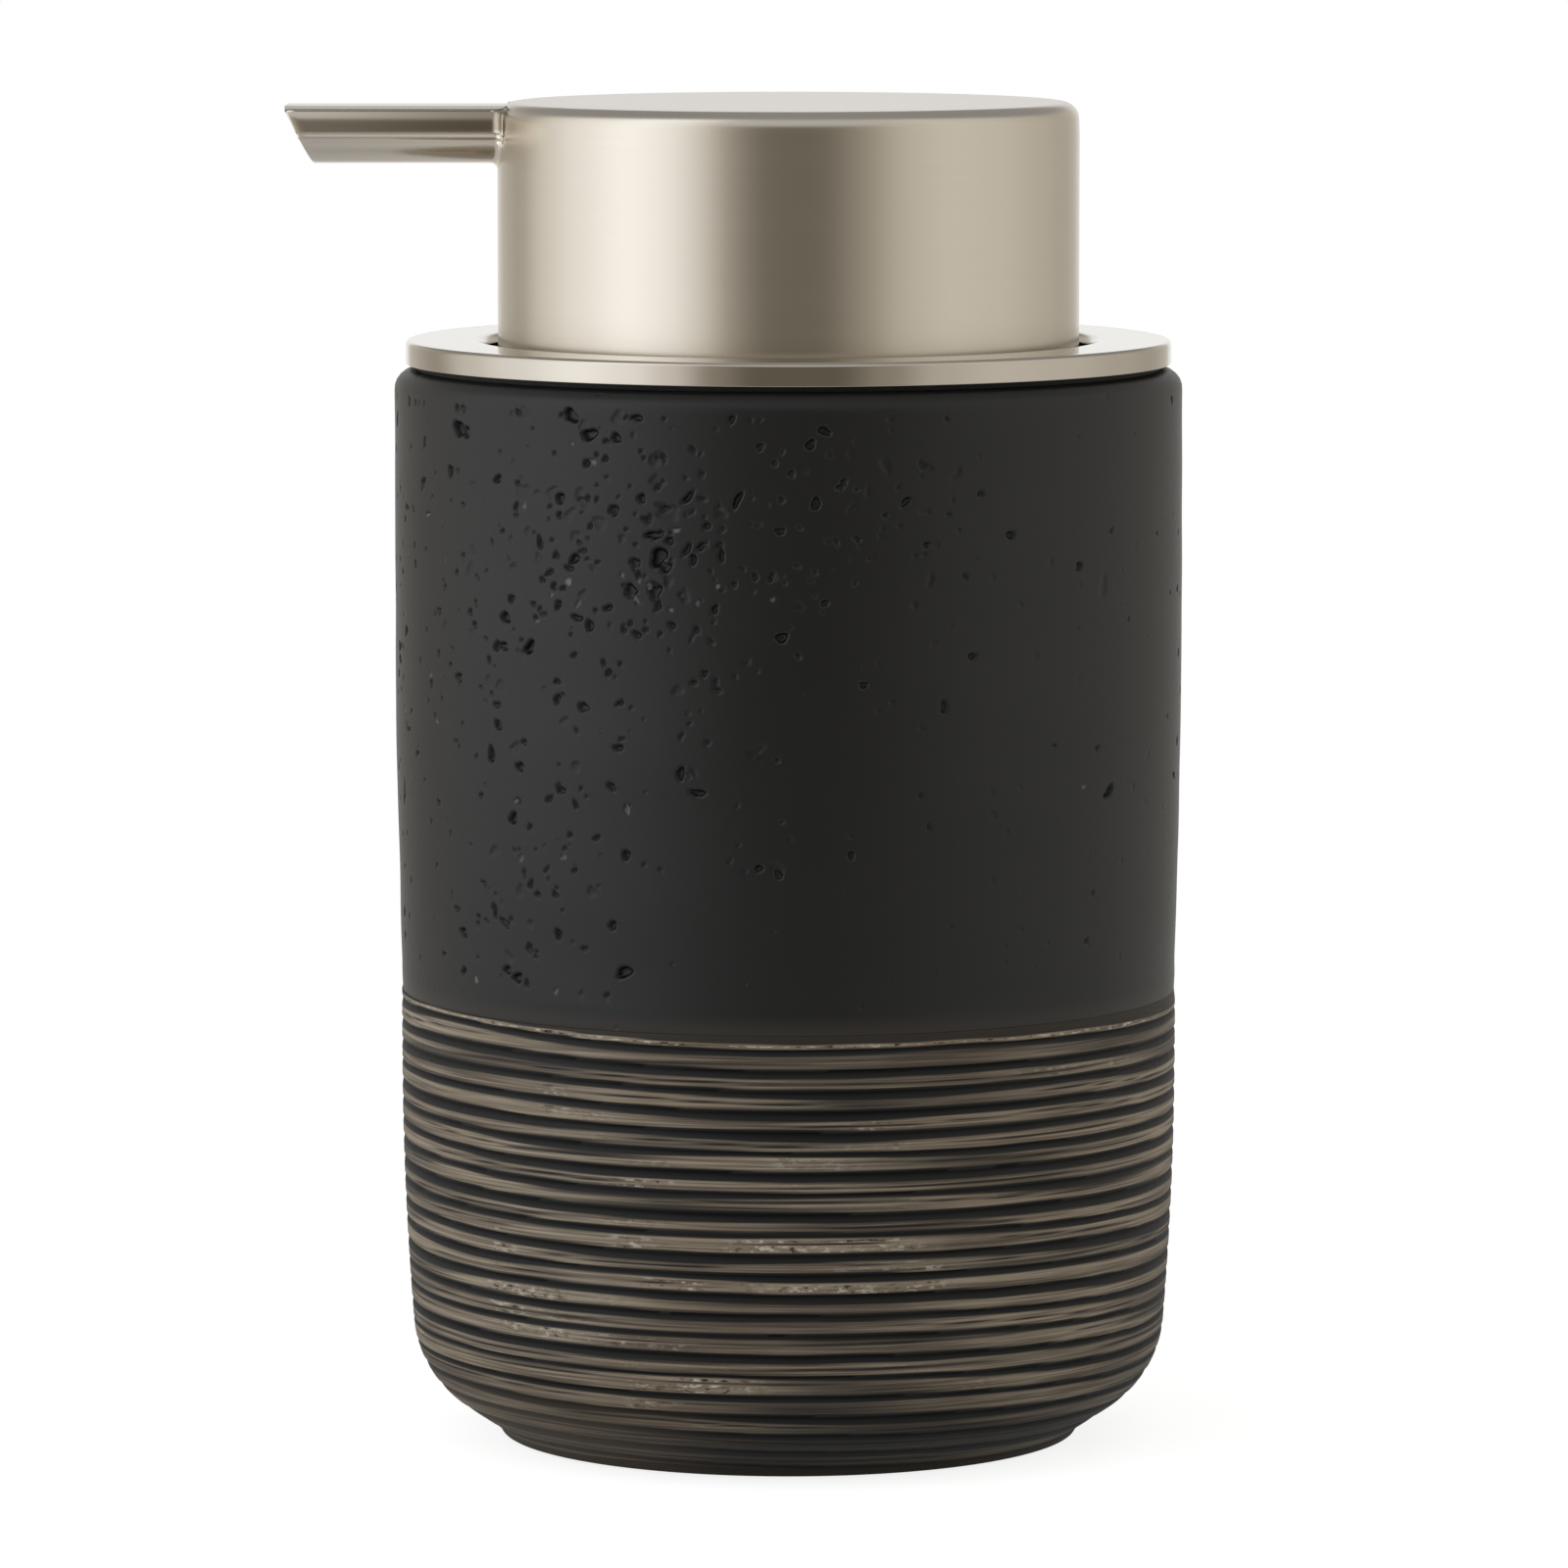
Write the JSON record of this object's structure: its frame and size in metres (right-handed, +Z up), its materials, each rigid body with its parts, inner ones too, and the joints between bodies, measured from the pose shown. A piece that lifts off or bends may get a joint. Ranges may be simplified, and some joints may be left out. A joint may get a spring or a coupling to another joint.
{
  "type": "soap pump dispenser",
  "caption": "Round counter-top pump dispenser for liquid soap: thick ridged pot, metal collar, wide press-down cap with a short side spout, lift-out pump.",
  "frame": {"origin": "centre of the base pad's underside, on the vessel's axis, where it stands", "axes": "+Z up along the pump axis; the spout points along -X at rest; +Y away from the usual viewer"},
  "size_m": [0.091, 0.08, 0.136],
  "materials": {
    "stoneware": "matt charcoal glaze with small craters above, ridged band with bronze-rubbed crests below",
    "foot_pad": "soft non-slip foam rubber",
    "brushed_metal": "satin-brushed stainless steel with a warm nickel tone",
    "black_plastic": "moulded black plastic, fine matt texture",
    "white_plastic": "natural white moulded plastic",
    "clear_plastic": "milky extruded tube",
    "seal_rubber": "black silicone rubber",
    "piston_plastic": "waxy natural polyethylene",
    "spring_steel": "drawn stainless spring wire",
    "ball_steel": "polished stainless steel balls"
  },
  "bodies": {
    "vessel": {"vessel": "stoneware", "base_pad": "foot_pad"},
    "pump_unit": {"collar_ring": "brushed_metal", "pump_carrier": "black_plastic", "rim_gasket": "seal_rubber", "plug_seal": "seal_rubber", "engine_gasket": "seal_rubber", "pump_cylinder": "white_plastic", "stem_guide": "white_plastic", "stem_wiper": "seal_rubber", "engine_nut": "black_plastic", "inlet_ball_cage": "white_plastic", "return_spring": "spring_steel", "dip_tube": "clear_plastic"},
    "plunger": {"piston_stem": "white_plastic", "piston_seal": "piston_plastic"},
    "head": {"cap_shell": "brushed_metal", "spout_tube": "brushed_metal", "spout_liner": "clear_plastic", "actuator_hub": "black_plastic", "outlet_stop": "white_plastic", "hub_oring": "seal_rubber"},
    "inlet_valve": {"inlet_ball": "ball_steel"},
    "outlet_valve": {"outlet_ball": "ball_steel"}
  },
  "joints": [
    {"name": "pump_lift", "type": "slide", "parent": "vessel", "child": "pump_unit", "axis": [0, 0, 1], "range_m": [0, 0.105]},
    {"name": "head_press", "type": "slide", "parent": "pump_unit", "child": "plunger", "axis": [0, 0, -1], "range_m": [0, 0.013], "stiffness_N_per_m": 700, "springref_m": -0.01, "deforming": ["return_spring"]},
    {"name": "head_turn", "type": "hinge", "parent": "plunger", "child": "head", "pos_m": [0, 0, 0.119], "axis": [0, 0, 1], "continuous": true},
    {"name": "inlet_lift", "type": "slide", "parent": "pump_unit", "child": "inlet_valve", "axis": [0, 0, 1], "range_m": [0, 0.0015]},
    {"name": "outlet_lift", "type": "slide", "parent": "plunger", "child": "outlet_valve", "axis": [0, 0, 1], "range_m": [0, 0.0012]}
  ]
}
